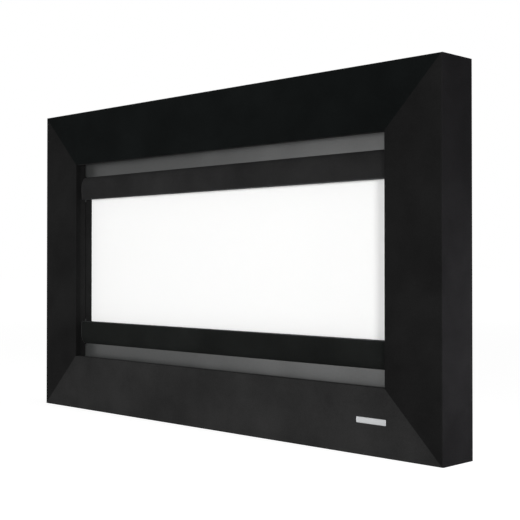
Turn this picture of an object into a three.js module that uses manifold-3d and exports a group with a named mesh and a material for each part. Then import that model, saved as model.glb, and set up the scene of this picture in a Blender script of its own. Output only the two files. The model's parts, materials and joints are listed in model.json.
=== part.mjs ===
// A fixed frame projector screen: a deep velvet-wrapped frame round a tensioned white sheet, with
// a mask on a spring roller above the picture and another below it.
// Millimetres, +Z up, the front faces -Y. The origin is the middle of the underside.
import * as THREE from "three";
import { mergeVertices } from "three/addons/utils/BufferGeometryUtils.js";
import Module from "manifold-3d";

const wasm = await Module();
wasm.setup();

// General fits
const SEAT_GAP = 0.3;
const MITRE_GAP = 0.3;
const ROUND_STEPS = 32;
const HOLE_STEPS = 10;
const ARC_STEPS = 4;
const SAME_POINT = 1e-6;
const WELD = 1e-4;
const CUT_PAST = 1;

// Frame rails
const FRAME_WIDTH = 1900;
const FRAME_HEIGHT = 1136;
const FRAME_DEPTH = 146;
const BORDER = 198;
const FLANGE_THICKNESS = 20;
const RETURN_THICKNESS = 20;
const RAIL_WALL = 2.5;
const FLANGE_CHAMBERS = 4;
const RETURN_CHAMBERS = 2;
const EDGE_ROUNDING = 2.5;
const INNER_FILLET = 5;

// Corner plates
const PLATE_LEG = 150;
const PLATE_WIDTH = 45;
const PLATE_THICKNESS = 4;
const PLATE_INSET = 8;
const PLATE_HOLES = 3;
const SCREW_HOLE_RADIUS = 2.6;

// Side guides
const GUIDE_WIDTH = 25;
const GUIDE_WALL = 2;
const SLOT_WIDTH = 6;
const SLOT_DEPTH = 14;
const GUIDE_ROLLER_GAP = 10;

// Screen sheet and its tension frame
const SCREEN_SETBACK = 75;
const SHEET_THICKNESS = 0.8;
const SCREEN_OVERLAP = 30;
const SHEET_HEM = 14;
const TENSION_TUBE = 28;
const TENSION_WALL = 2;
const TENSION_ROUNDING = 2;
const STRIP_WIDTH = 10;
const STRIP_THICKNESS = 2.5;
const BRACE_WIDTH = 24;
const BRACE_DEPTH = 20;
const BRACE_WALL = 1.5;

// Brackets between the tension frame and the stiles
const BRACKETS_PER_SIDE = 3;
const BRACKET_PITCH = 250;
const BRACKET_HEIGHT = 60;
const BRACKET_STEEL = 3;
const BRACKET_FOOT = 40;
const BRACKET_FLAP = 26;

// Hang rail
const HANG_RAIL_END = 80;
const HANG_RAIL_STEEL = 3;
const HANG_RAIL_FOOT = 28;
const HANG_RAIL_DROP = 42;
const HANG_RAIL_WALL_GAP = 13;

// Masks
const PICTURE_HEIGHT = 472;
const MASK_SETBACK = 46;
const BAR_HEIGHT = 86;
const BAR_PROUD = 22;
const BAR_BULGE_DROP = 44;
const BAR_LIP_SETBACK = 3;
const BAR_BACK = 4;
const BAR_WALL = 2;
const BAR_CURVE_STEPS = 10;
const BAR_SIDE_GAP = 2;
const CLOTH_THICKNESS = 0.8;
const CLOTH_SLOT = 1.6;
const CLOTH_SLOT_DEPTH = 7;
const SPLINE_RADIUS = 2.2;
const SPLINE_CLEARANCE = 0.6;
const CLOTH_IN_GUIDE = 8;
const CLOTH_SIDE_STEP = 2;

// Shoes and stops
const SHOE_PLATE = 2;
const SHOE_CLEARANCE = 0.8;
const SHOE_SHORTER = 12;
const SPIGOT_LENGTH = 15;
const SPIGOT_HEIGHT = 21;
const SPIGOT_MARGIN = 3;
const STOP_LENGTH = 20;

// Rollers
const ROLLER_DROP = 45;
const ROLLER_BARE_END = 7;
const TUBE_RADIUS = 22;
const TUBE_WALL = 2;
const WOUND_THICKNESS = 2.8;
const PLUG_FLANGE = 2;
const PLUG_SPIGOT = 25;
const AXLE_RADIUS = 5;
const ARBOR_LENGTH = 420;
const RETAINER_RADIUS = 14;
const RETAINER_LENGTH = 8;
const TANG_THICKNESS = 5;
const TANG_HEIGHT = 8;
const AXLE_STANDS_OUT = 3;
const SPRING_RADIUS = 9;
const SPRING_WIRE = 1;
const SPRING_TURNS = 24;
const SPRING_STEPS_PER_TURN = 8;
const SPRING_SIDES = 5;
const ROLLER_BRACKET_STEEL = 4;
const ROLLER_BRACKET_RADIUS = 18;
const ROLLER_BRACKET_FOOT = 50;
const BRACKET_DRILL_LENGTH = 16;
const ROLLER_PLAY = 1;

// Places that follow from the sizes above. Heights are from the frame's centre.
const frontY = -FRAME_DEPTH / 2;
const openingHalfWidth = FRAME_WIDTH / 2 - BORDER;
const openingHalfHeight = FRAME_HEIGHT / 2 - BORDER;
const flangeBackY = frontY + FLANGE_THICKNESS;
const returnInnerX = FRAME_WIDTH / 2 - RETURN_THICKNESS;
const returnInnerZ = FRAME_HEIGHT / 2 - RETURN_THICKNESS;
const clothY = frontY + MASK_SETBACK;
const sheetY = frontY + SCREEN_SETBACK;
const tensionFrontY = sheetY + SHEET_THICKNESS + SEAT_GAP;
const tensionBackY = tensionFrontY + TENSION_TUBE;
const hemBackY = tensionBackY + SEAT_GAP + SHEET_THICKNESS;
const stripBackY = hemBackY + SEAT_GAP + STRIP_THICKNESS;
const tensionHalfWidth = openingHalfWidth + SCREEN_OVERLAP;
const tensionHalfHeight = openingHalfHeight + SCREEN_OVERLAP;
const barTop = PICTURE_HEIGHT / 2 + BAR_HEIGHT;
const barBottom = PICTURE_HEIGHT / 2;
const capOuterX = openingHalfWidth - BAR_SIDE_GAP;
const barHalfLength = capOuterX - SHOE_PLATE - SEAT_GAP;
const rollerZ = returnInnerZ - ROLLER_DROP;
const woundInner = TUBE_RADIUS + SEAT_GAP;
const woundOuter = woundInner + WOUND_THICKNESS;
const rollerY = clothY + CLOTH_THICKNESS / 2 + SEAT_GAP + woundOuter;
const clothHalfWidth = openingHalfWidth + CLOTH_IN_GUIDE;
const tubeHalfLength = clothHalfWidth + ROLLER_BARE_END;
const plugOuterX = tubeHalfLength + SEAT_GAP + PLUG_FLANGE;
const rollerBracketX = plugOuterX + ROLLER_PLAY;
const rollerBracketOuterX = rollerBracketX + ROLLER_BRACKET_STEEL;
const axleEndX = rollerBracketOuterX + AXLE_STANDS_OUT;
const guideHalfLength = rollerZ - Math.max(ROLLER_BRACKET_RADIUS, woundOuter) - GUIDE_ROLLER_GAP;

// Finishes, as colour, roughness and metalness
const VELVET = [0x121313, 0.96, 0];
const MASK_CLOTH = [0x5d605e, 0.92, 0];
const SCREEN_WHITE = [0xf8f8f6, 0.85, 0];
const PLAIN_ALUMINIUM = [0xa6a9ab, 0.42, 0.95];
const ZINC_STEEL = [0xb2b4b3, 0.38, 0.95];
const SPRING_STEEL = [0x5c5f63, 0.35, 0.95];
const BLACK_PLASTIC = [0x17181a, 0.6, 0];
const GREY_PLASTIC = [0x8b8e90, 0.55, 0];

function piece(name, geometry, [color, roughness, metalness]) {
  const material = new THREE.MeshStandardMaterial({ color, roughness, metalness });
  const mesh = new THREE.Mesh(geometry, material);
  mesh.name = name;
  return mesh;
}

// Joining and cutting
function toSolid(geometry) {
  const bare = geometry.index ? geometry.toNonIndexed() : geometry.clone();
  bare.deleteAttribute("normal");
  bare.deleteAttribute("uv");
  const merged = mergeVertices(bare, WELD);
  const vertProperties = merged.attributes.position.array;
  const triVerts = new Uint32Array(merged.index.array);
  return new wasm.Manifold(new wasm.Mesh({ numProp: 3, vertProperties, triVerts }));
}

function toGeometry(solid) {
  const { vertProperties, triVerts } = solid.getMesh();
  const geometry = new THREE.BufferGeometry();
  geometry.setAttribute("position", new THREE.BufferAttribute(new Float32Array(vertProperties), 3));
  geometry.setIndex(new THREE.BufferAttribute(new Uint32Array(triVerts), 1));
  const faceted = geometry.toNonIndexed();
  faceted.computeVertexNormals();
  return faceted;
}

const join = (...shapes) => toGeometry(shapes.map(toSolid).reduce((all, next) => all.add(next)));
const cut = (body, ...tools) => (
  toGeometry(tools.map(toSolid).reduce((left, tool) => left.subtract(tool), toSolid(body))));

// Basic forms
function box([x0, x1], [y0, y1], [z0, z1]) {
  const geometry = new THREE.BoxGeometry(x1 - x0, y1 - y0, z1 - z0);
  return geometry.translate((x0 + x1) / 2, (y0 + y1) / 2, (z0 + z1) / 2);
}

// An outline's own points, without the repeats where an arc meets a line or the outline closes
function withoutRepeats(path) {
  const points = path.getPoints(ARC_STEPS);
  return points.filter((point, i) => point.distanceTo(points.at(i - 1)) > SAME_POINT);
}

function extrudeOutline(path, settings) {
  const outline = new THREE.Shape(withoutRepeats(path));
  return new THREE.ExtrudeGeometry(outline, { bevelEnabled: false, ...settings });
}

// A section drawn in (x, y) and run up Z. Its holes are cut right through.
function runAlongZ(section, z0, z1) {
  const outer = extrudeOutline(section, { depth: z1 - z0 }).translate(0, 0, z0);
  const holes = section.holes.map((hole) => (
    extrudeOutline(hole, { depth: z1 - z0 + 2 * CUT_PAST }).translate(0, 0, z0 - CUT_PAST)));
  return holes.length ? cut(outer, ...holes) : outer;
}

// A section drawn in (y, z) and run along X
function runAlongX(section, x0, x1) {
  const turn = new THREE.Matrix4().makeBasis(
    new THREE.Vector3(0, 1, 0), new THREE.Vector3(0, 0, 1), new THREE.Vector3(1, 0, 0));
  return runAlongZ(section, x0, x1).applyMatrix4(turn);
}

// A profile of [along, radius] points, turned about the X axis
function turnAboutX(profile, steps = ROUND_STEPS) {
  const points = profile.map(([along, radius]) => new THREE.Vector2(radius, along));
  return new THREE.LatheGeometry(points, steps).rotateZ(-Math.PI / 2);
}

function ring([along0, along1], inner, outer) {
  return turnAboutX([[along0, inner], [along0, outer], [along1, outer], [along1, inner],
    [along0, inner]]);
}

function rod([along0, along1], radius, steps) {
  return turnAboutX([[along0, 0], [along0, radius], [along1, radius], [along1, 0]], steps);
}

function polygon(points) {
  return new THREE.Shape(points.map(([x, y]) => new THREE.Vector2(x, y)));
}

function cutWindow(shape, [x0, x1], [y0, y1]) {
  const corners = [[x0, y0], [x1, y0], [x1, y1], [x0, y1]];
  shape.holes.push(new THREE.Path(corners.map(([x, y]) => new THREE.Vector2(x, y))));
}

function circle(x, y, radius, steps) {
  return new THREE.Path(Array.from({ length: steps }, (_, i) => {
    const angle = i / steps * Math.PI * 2;
    return new THREE.Vector2(x + radius * Math.cos(angle), y + radius * Math.sin(angle));
  }));
}

// The spans of equal chambers between two places, with a wall between neighbours
function chambers(from, to, count, wall) {
  const width = (to - from - wall * (count - 1)) / count;
  return Array.from({ length: count }, (_, i) => {
    const start = from + i * (width + wall);
    return [start, start + width];
  });
}

// Mitred bars. The section is drawn as (distance in from the outer edge, depth), and each end is cut
// back by the distance in, so that four bars meet at 45 degrees.
function mitredBar(section, outerLength) {
  const geometry = runAlongZ(section, 0, outerLength);
  const position = geometry.attributes.position;
  for (let i = 0; i < position.count; i++) {
    const reach = outerLength / 2 - position.getX(i) - MITRE_GAP * Math.SQRT1_2;
    position.setZ(i, position.getZ(i) > outerLength / 2 ? reach : -reach);
  }
  geometry.computeVertexNormals();
  return geometry;
}

// Four mitred bars round a rectangle of the given half sizes
function mitredFrame(names, section, halfWidth, halfHeight, finish) {
  const group = new THREE.Group();
  const sides = [
    [names.left, 0, halfWidth, halfHeight],
    [names.top, Math.PI / 2, halfHeight, halfWidth],
    [names.right, Math.PI, halfWidth, halfHeight],
    [names.bottom, -Math.PI / 2, halfHeight, halfWidth],
  ];
  for (const [name, angle, away, halfLength] of sides) {
    const bar = piece(name, mitredBar(section, 2 * halfLength), finish);
    bar.position.x = -away;
    const side = new THREE.Group();
    side.rotation.y = angle;
    side.add(bar);
    group.add(side);
  }
  return group;
}

// Frame rails: a hollow L section, flange across the front and return down the outer side
function railSection() {
  const front = frontY;
  const back = frontY + FRAME_DEPTH;
  const shape = new THREE.Shape();
  shape.moveTo(EDGE_ROUNDING, front);
  shape.lineTo(BORDER - EDGE_ROUNDING, front);
  shape.absarc(BORDER - EDGE_ROUNDING, front + EDGE_ROUNDING, EDGE_ROUNDING, -Math.PI / 2, 0);
  shape.lineTo(BORDER, flangeBackY);
  shape.lineTo(RETURN_THICKNESS + INNER_FILLET, flangeBackY);
  shape.absarc(RETURN_THICKNESS + INNER_FILLET, flangeBackY + INNER_FILLET, INNER_FILLET,
    -Math.PI / 2, -Math.PI, true);
  shape.lineTo(RETURN_THICKNESS, back);
  shape.lineTo(0, back);
  shape.lineTo(0, front + EDGE_ROUNDING);
  shape.absarc(EDGE_ROUNDING, front + EDGE_ROUNDING, EDGE_ROUNDING, Math.PI, Math.PI * 1.5);
  const flangeSpan = [front + RAIL_WALL, flangeBackY - RAIL_WALL];
  const returnSpan = [RAIL_WALL, RETURN_THICKNESS - RAIL_WALL];
  cutWindow(shape, returnSpan, flangeSpan);
  for (const span of chambers(RETURN_THICKNESS, BORDER - RAIL_WALL, FLANGE_CHAMBERS, RAIL_WALL)) {
    cutWindow(shape, span, flangeSpan);
  }
  for (const span of chambers(flangeBackY, back - RAIL_WALL, RETURN_CHAMBERS, RAIL_WALL)) {
    cutWindow(shape, returnSpan, span);
  }
  return shape;
}

function frameRails() {
  const names = { left: "left_stile", top: "top_rail", right: "right_stile", bottom: "bottom_rail" };
  return mitredFrame(names, railSection(), FRAME_WIDTH / 2, FRAME_HEIGHT / 2, VELVET);
}

// Corner plates: steel Ls screwed across the back of each mitre
function cornerPlate() {
  const shape = polygon([[0, 0], [PLATE_LEG, 0], [PLATE_LEG, -PLATE_WIDTH], [PLATE_WIDTH, -PLATE_WIDTH],
    [PLATE_WIDTH, -PLATE_LEG], [0, -PLATE_LEG]]);
  const middle = PLATE_WIDTH / 2;
  const addHole = (x, z) => shape.holes.push(circle(x, z, SCREW_HOLE_RADIUS, HOLE_STEPS));
  const step = (PLATE_LEG - PLATE_WIDTH) / PLATE_HOLES;
  addHole(middle, -middle);
  for (let i = 0; i < PLATE_HOLES; i++) {
    const along = PLATE_WIDTH + step * (i + 0.5);
    addHole(along, -middle);
    addHole(middle, -along);
  }
  const toXZ = new THREE.Matrix4().makeBasis(
    new THREE.Vector3(1, 0, 0), new THREE.Vector3(0, 0, 1), new THREE.Vector3(0, -1, 0));
  return runAlongZ(shape, 0, PLATE_THICKNESS).applyMatrix4(toXZ);
}

function cornerPlates() {
  const group = new THREE.Group();
  const x = returnInnerX - PLATE_INSET;
  const z = returnInnerZ - PLATE_INSET;
  const corners = [
    ["top_left", -x, z, 0],
    ["top_right", x, z, 1],
    ["bottom_right", x, -z, 2],
    ["bottom_left", -x, -z, 3],
  ];
  for (const [corner, atX, atZ, quarterTurns] of corners) {
    const plate = piece(`corner_plate_${corner}`, cornerPlate(), ZINC_STEEL);
    plate.position.set(atX, flangeBackY + SEAT_GAP + PLATE_THICKNESS, atZ);
    plate.rotation.y = quarterTurns * Math.PI / 2;
    group.add(plate);
  }
  return group;
}

// Side guides: a hollow section with an open slot level with the mask cloth, and a stop for each bar
function guideSection() {
  const inner = -openingHalfWidth;
  const outer = inner - GUIDE_WIDTH;
  const front = flangeBackY + SEAT_GAP;
  const back = sheetY - SEAT_GAP;
  const slotFront = clothY - SLOT_WIDTH / 2;
  const slotBack = clothY + SLOT_WIDTH / 2;
  const slotEnd = inner - SLOT_DEPTH;
  const shape = polygon([[outer, front], [inner, front], [inner, slotFront], [slotEnd, slotFront],
    [slotEnd, slotBack], [inner, slotBack], [inner, back], [outer, back]]);
  const across = [outer + GUIDE_WALL, inner - GUIDE_WALL];
  cutWindow(shape, across, [front + GUIDE_WALL, slotFront - GUIDE_WALL]);
  cutWindow(shape, [outer + GUIDE_WALL, slotEnd - GUIDE_WALL], [slotFront, slotBack]);
  cutWindow(shape, across, [slotBack + GUIDE_WALL, back - GUIDE_WALL]);
  return shape;
}

function guideStop() {
  const x = [-openingHalfWidth - SLOT_DEPTH + SEAT_GAP, -openingHalfWidth - SEAT_GAP];
  const halfWidth = SLOT_WIDTH / 2 - SEAT_GAP;
  const top = barBottom + SHOE_SHORTER - SEAT_GAP;
  return box(x, [clothY - halfWidth, clothY + halfWidth], [top - STOP_LENGTH, top]);
}

// The left side. The right one is the same turned half round about the Y axis, which swaps top
// and bottom.
function guideSide(side, above, below) {
  const group = new THREE.Group();
  const guide = runAlongZ(guideSection(), -guideHalfLength, guideHalfLength);
  const mirrorUp = new THREE.Matrix4().makeScale(1, 1, -1);
  const lowerStop = toGeometry(toSolid(guideStop()).transform(mirrorUp.elements));
  group.add(piece(`${side}_guide`, guide, VELVET));
  group.add(piece(`${above}_stop_${side}`, guideStop(), BLACK_PLASTIC));
  group.add(piece(`${below}_stop_${side}`, lowerStop, BLACK_PLASTIC));
  return group;
}

function sideGuides() {
  const group = new THREE.Group();
  const right = guideSide("right", "bottom", "top");
  right.rotation.y = Math.PI;
  group.add(guideSide("left", "top", "bottom"), right);
  return group;
}

// Screen: the white sheet wraps round the tension frame, and strips clamp its hem at the back
function screenSheet() {
  const wrap = SEAT_GAP + SHEET_THICKNESS;
  const halves = (extra) => [
    [-tensionHalfWidth - extra, tensionHalfWidth + extra],
    [-tensionHalfHeight - extra, tensionHalfHeight + extra],
  ];
  const [outerX, outerZ] = halves(wrap);
  const [innerX, innerZ] = halves(SEAT_GAP);
  const [openX, openZ] = halves(SEAT_GAP - SHEET_HEM);
  return cut(
    box(outerX, [sheetY, hemBackY], outerZ),
    box(innerX, [sheetY + SHEET_THICKNESS, tensionBackY + SEAT_GAP], innerZ),
    box(openX, [tensionBackY, hemBackY + SHEET_THICKNESS], openZ),
  );
}

function tensionSection() {
  const r = TENSION_ROUNDING;
  const shape = new THREE.Shape();
  shape.absarc(r, tensionFrontY + r, r, Math.PI, Math.PI * 1.5);
  shape.absarc(TENSION_TUBE - r, tensionFrontY + r, r, -Math.PI / 2, 0);
  shape.absarc(TENSION_TUBE - r, tensionBackY - r, r, 0, Math.PI / 2);
  shape.absarc(r, tensionBackY - r, r, Math.PI / 2, Math.PI);
  shape.closePath();
  cutWindow(shape, [TENSION_WALL, TENSION_TUBE - TENSION_WALL],
    [tensionFrontY + TENSION_WALL, tensionBackY - TENSION_WALL]);
  return shape;
}

function stripSection() {
  const front = hemBackY + SEAT_GAP;
  return polygon([[0, front], [STRIP_WIDTH, front], [STRIP_WIDTH, stripBackY], [0, stripBackY]]);
}

function centreBrace() {
  const front = (tensionFrontY + tensionBackY - BRACE_DEPTH) / 2;
  const half = BRACE_WIDTH / 2;
  const back = front + BRACE_DEPTH;
  const shape = polygon([[-half, front], [half, front], [half, back], [-half, back]]);
  cutWindow(shape, [BRACE_WALL - half, half - BRACE_WALL], [front + BRACE_WALL, back - BRACE_WALL]);
  const reach = tensionHalfHeight - TENSION_TUBE - SEAT_GAP;
  return runAlongZ(shape, -reach, reach);
}

function screenUnit() {
  const group = new THREE.Group();
  const names = (word) => ({
    left: `${word}_left`,
    top: `${word}_top`,
    right: `${word}_right`,
    bottom: `${word}_bottom`,
  });
  const half = [tensionHalfWidth, tensionHalfHeight];
  group.add(piece("screen_sheet", screenSheet(), SCREEN_WHITE));
  group.add(mitredFrame(names("tension_tube"), tensionSection(), ...half, PLAIN_ALUMINIUM));
  group.add(mitredFrame(names("retaining_strip"), stripSection(), ...half, BLACK_PLASTIC));
  group.add(piece("centre_brace", centreBrace(), PLAIN_ALUMINIUM));
  return group;
}

// Screen brackets: a bent strip from the back of the stile's flange to the back of the tension frame
function screenBracket() {
  const web = -(tensionHalfWidth + 2 * SEAT_GAP + SHEET_THICKNESS);
  const foot = flangeBackY + SEAT_GAP;
  const flap = stripBackY + SEAT_GAP;
  const section = polygon([
    [web - BRACKET_FOOT, foot], [web, foot], [web, flap], [web + BRACKET_FLAP, flap],
    [web + BRACKET_FLAP, flap + BRACKET_STEEL], [web - BRACKET_STEEL, flap + BRACKET_STEEL],
    [web - BRACKET_STEEL, foot + BRACKET_STEEL], [web - BRACKET_FOOT, foot + BRACKET_STEEL],
  ]);
  return runAlongZ(section, -BRACKET_HEIGHT / 2, BRACKET_HEIGHT / 2);
}

function screenBrackets() {
  const group = new THREE.Group();
  for (const [side, angle] of [["left", 0], ["right", Math.PI]]) {
    const stack = new THREE.Group();
    stack.rotation.y = angle;
    for (let i = 0; i < BRACKETS_PER_SIDE; i++) {
      const bracket = piece(`screen_bracket_${side}_${i + 1}`, screenBracket(), ZINC_STEEL);
      bracket.position.z = (i - (BRACKETS_PER_SIDE - 1) / 2) * BRACKET_PITCH;
      stack.add(bracket);
    }
    group.add(stack);
  }
  return group;
}

// Hang rail: foot under the top rail's return, leg that drops over a rail on the wall
function hangRail() {
  const legBack = frontY + FRAME_DEPTH - HANG_RAIL_WALL_GAP;
  const top = returnInnerZ - SEAT_GAP;
  const t = HANG_RAIL_STEEL;
  const section = polygon([
    [legBack - HANG_RAIL_FOOT, top - t], [legBack - t, top - t], [legBack - t, top - HANG_RAIL_DROP],
    [legBack, top - HANG_RAIL_DROP], [legBack, top], [legBack - HANG_RAIL_FOOT, top],
  ]);
  const half = returnInnerX - HANG_RAIL_END;
  return runAlongX(section, -half, half);
}

// Mask bar. How far its front stands proud of the cloth, at a distance down from its upper edge
function barFront(down) {
  const root = CLOTH_SLOT / 2;
  if (down < BAR_BULGE_DROP) {
    const rise = (BAR_BULGE_DROP - down) / BAR_BULGE_DROP;
    return root + (BAR_PROUD - root) * Math.sqrt(1 - rise * rise);
  }
  const fall = (down - BAR_BULGE_DROP) / (BAR_HEIGHT - BAR_BULGE_DROP);
  return BAR_PROUD - BAR_LIP_SETBACK * fall * fall;
}

// Points down the bar's front, closer together where the curve is tight, set back by a wall
function barFrontPoints(from, to, wall) {
  return Array.from({ length: BAR_CURVE_STEPS + 1 }, (_, i) => {
    const share = i / BAR_CURVE_STEPS;
    const down = from + (to - from) * share * share;
    return [clothY - barFront(down) + wall, barTop - down];
  });
}

function barOutline() {
  const back = clothY + BAR_BACK;
  return [...barFrontPoints(0, BAR_HEIGHT, 0), [back, barBottom], [back, barTop]];
}

function barSection() {
  const half = CLOTH_SLOT / 2;
  const holeRadius = SPLINE_RADIUS + SPLINE_CLEARANCE;
  const splineZ = barTop - CLOTH_SLOT_DEPTH - SPLINE_RADIUS;
  const mouth = Math.asin(half / holeRadius);
  const shape = polygon([...barOutline(), [clothY + half, barTop]]);
  shape.absarc(clothY, splineZ, holeRadius, Math.PI / 2 - mouth, Math.PI / 2 + mouth, true);
  const chamberTop = CLOTH_SLOT_DEPTH + 2 * SPLINE_RADIUS + SPLINE_CLEARANCE + BAR_WALL;
  for (const [from, to] of chambers(chamberTop, BAR_HEIGHT - BAR_WALL, 2, BAR_WALL)) {
    const back = clothY + BAR_BACK - BAR_WALL;
    const hole = [...barFrontPoints(from, to, BAR_WALL), [back, barTop - to], [back, barTop - from]];
    shape.holes.push(new THREE.Path(hole.map(([y, z]) => new THREE.Vector2(y, z))));
  }
  return shape;
}

// A shoe closes the bar's end, plugs into its lower chamber and runs in the guide's slot
function barShoe() {
  const halfTongue = SLOT_WIDTH / 2 - SHOE_CLEARANCE;
  const tongueEnd = openingHalfWidth + SLOT_DEPTH - SHOE_CLEARANCE;
  const plate = runAlongX(polygon(barOutline()), capOuterX - SHOE_PLATE, capOuterX);
  const tongue = box([capOuterX - SHOE_PLATE, tongueEnd], [clothY - halfTongue, clothY + halfTongue],
    [barBottom + SHOE_SHORTER, barTop - SHOE_SHORTER]);
  const spigotFront = clothY - BAR_PROUD + BAR_LIP_SETBACK + BAR_WALL + SPIGOT_MARGIN;
  const spigotBack = clothY + BAR_BACK - BAR_WALL - SEAT_GAP;
  const spigotBottom = barBottom + BAR_WALL + SEAT_GAP;
  const spigot = box([capOuterX - SHOE_PLATE - SPIGOT_LENGTH, capOuterX], [spigotFront, spigotBack],
    [spigotBottom, spigotBottom + SPIGOT_HEIGHT]);
  return join(plate, tongue, spigot);
}

function maskCloth() {
  const y = [clothY - CLOTH_THICKNESS / 2, clothY + CLOTH_THICKNESS / 2];
  const step = barTop + CLOTH_SIDE_STEP;
  const tuckEnd = barTop - CLOTH_SLOT_DEPTH + SEAT_GAP;
  return join(
    box([-clothHalfWidth, clothHalfWidth], y, [step, rollerZ]),
    box([-barHalfLength, barHalfLength], y, [tuckEnd, step]),
  );
}

// Roller pieces lie along X, about the roller's own axis
function springPlug() {
  const bore = AXLE_RADIUS + SEAT_GAP;
  const inner = tubeHalfLength - PLUG_SPIGOT;
  const shoulder = tubeHalfLength + SEAT_GAP;
  const fit = TUBE_RADIUS - TUBE_WALL - SEAT_GAP;
  return turnAboutX([[inner, bore], [inner, fit], [shoulder, fit], [shoulder, TUBE_RADIUS],
    [plugOuterX, TUBE_RADIUS], [plugOuterX, bore], [inner, bore]]);
}

function pinPlug() {
  const inner = tubeHalfLength - PLUG_SPIGOT;
  const shoulder = tubeHalfLength + SEAT_GAP;
  const fit = TUBE_RADIUS - TUBE_WALL - SEAT_GAP;
  return turnAboutX([[inner, 0], [inner, fit], [shoulder, fit], [shoulder, TUBE_RADIUS],
    [plugOuterX, TUBE_RADIUS], [plugOuterX, AXLE_RADIUS], [axleEndX, AXLE_RADIUS], [axleEndX, 0]]);
}

function springArbor() {
  const shaftEnd = rollerBracketX - SEAT_GAP;
  const inner = axleEndX - ARBOR_LENGTH;
  const retainerEnd = inner + RETAINER_LENGTH;
  const shaft = turnAboutX([[inner, 0], [inner, RETAINER_RADIUS], [retainerEnd, RETAINER_RADIUS],
    [retainerEnd, AXLE_RADIUS], [shaftEnd, AXLE_RADIUS], [shaftEnd, 0]]);
  const tang = box([shaftEnd - TANG_THICKNESS, axleEndX], [-TANG_THICKNESS / 2, TANG_THICKNESS / 2],
    [-TANG_HEIGHT / 2, TANG_HEIGHT / 2]);
  return join(shaft, tang);
}

class HelixAboutX extends THREE.Curve {
  constructor(from, to, radius, turns) {
    super();
    Object.assign(this, { from, to, radius, turns });
  }

  getPoint(share, point = new THREE.Vector3()) {
    const angle = share * this.turns * Math.PI * 2;
    const along = this.from + (this.to - this.from) * share;
    return point.set(along, this.radius * Math.cos(angle), this.radius * Math.sin(angle));
  }
}

function torsionSpring() {
  const from = axleEndX - ARBOR_LENGTH + RETAINER_LENGTH + SPRING_WIRE + SEAT_GAP;
  const to = tubeHalfLength - PLUG_SPIGOT - SPRING_WIRE - SEAT_GAP;
  const wire = circle(0, 0, SPRING_WIRE, SPRING_SIDES);
  const extrudePath = new HelixAboutX(from, to, SPRING_RADIUS, SPRING_TURNS);
  return extrudeOutline(wire, { steps: SPRING_TURNS * SPRING_STEPS_PER_TURN, extrudePath });
}

// A roller bracket: a foot under the return and a rounded ear that holds the axle
function rollerBracket(axleHole) {
  const top = returnInnerZ - SEAT_GAP - rollerZ;
  const radius = ROLLER_BRACKET_RADIUS;
  const ear = new THREE.Shape();
  ear.moveTo(radius, top);
  ear.lineTo(-radius, top);
  ear.absarc(0, 0, radius, Math.PI, Math.PI * 2);
  ear.holes.push(axleHole);
  const footEnd = rollerBracketX + ROLLER_BRACKET_FOOT;
  const foot = box([rollerBracketX, footEnd], [-radius, radius], [top - ROLLER_BRACKET_STEEL, top]);
  const r = SCREW_HOLE_RADIUS;
  const screwHoles = [-radius / 2, radius / 2].map((y) => {
    const hole = new THREE.CylinderGeometry(r, r, BRACKET_DRILL_LENGTH, HOLE_STEPS);
    return hole.rotateX(Math.PI / 2).translate((rollerBracketOuterX + footEnd) / 2, y, top);
  });
  return cut(join(runAlongX(ear, rollerBracketX, rollerBracketOuterX), foot), ...screwHoles);
}

function roundAxleHole() {
  return circle(0, 0, AXLE_RADIUS + SEAT_GAP, ROUND_STEPS);
}

function tangHole() {
  const y = TANG_THICKNESS / 2 + SEAT_GAP;
  const z = TANG_HEIGHT / 2 + SEAT_GAP;
  const corners = [[-y, -z], [y, -z], [y, z], [-y, z]];
  return new THREE.Path(corners.map(([a, b]) => new THREE.Vector2(a, b)));
}

// One mask, drawn as the upper one. It holds its spring at the +X end of its roller.
function maskUnit(mask, springSide, pinSide) {
  const group = new THREE.Group();
  const roller = new THREE.Group();
  const pinEnd = new THREE.Group();
  const farShoe = new THREE.Group();
  const turnedEnd = new THREE.Matrix4().makeScale(-1, 1, 1);
  roller.position.set(0, rollerY, rollerZ);
  const tube = ring([-tubeHalfLength, tubeHalfLength], TUBE_RADIUS - TUBE_WALL, TUBE_RADIUS);
  const wound = ring([-clothHalfWidth, clothHalfWidth], woundInner, woundOuter);
  roller.add(piece(`${mask}_roller_tube`, tube, PLAIN_ALUMINIUM));
  roller.add(piece(`${mask}_wound_cloth`, wound, MASK_CLOTH));
  roller.add(piece(`${mask}_spring_plug`, springPlug(), GREY_PLASTIC));
  roller.add(piece(`${mask}_spring_arbor`, springArbor(), ZINC_STEEL));
  roller.add(piece(`${mask}_torsion_spring`, torsionSpring(), SPRING_STEEL));
  roller.add(piece(`${mask}_spring_bracket`, rollerBracket(tangHole()), ZINC_STEEL));
  pinEnd.applyMatrix4(turnedEnd);
  pinEnd.add(piece(`${mask}_pin_plug`, pinPlug(), GREY_PLASTIC));
  pinEnd.add(piece(`${mask}_pin_bracket`, rollerBracket(roundAxleHole()), ZINC_STEEL));
  roller.add(pinEnd);
  farShoe.applyMatrix4(turnedEnd);
  farShoe.add(piece(`${mask}_shoe_${pinSide}`, barShoe(), BLACK_PLASTIC));
  const spline = rod([-barHalfLength, barHalfLength], SPLINE_RADIUS, HOLE_STEPS);
  spline.translate(0, clothY, barTop - CLOTH_SLOT_DEPTH - SPLINE_RADIUS);
  group.add(roller, farShoe);
  group.add(piece(`${mask}_shoe_${springSide}`, barShoe(), BLACK_PLASTIC));
  const bar = runAlongX(barSection(), -barHalfLength, barHalfLength);
  group.add(piece(`${mask}_mask_bar`, bar, VELVET));
  group.add(piece(`${mask}_cloth_spline`, spline, BLACK_PLASTIC));
  group.add(piece(`${mask}_mask_cloth`, maskCloth(), MASK_CLOTH));
  return group;
}

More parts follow.
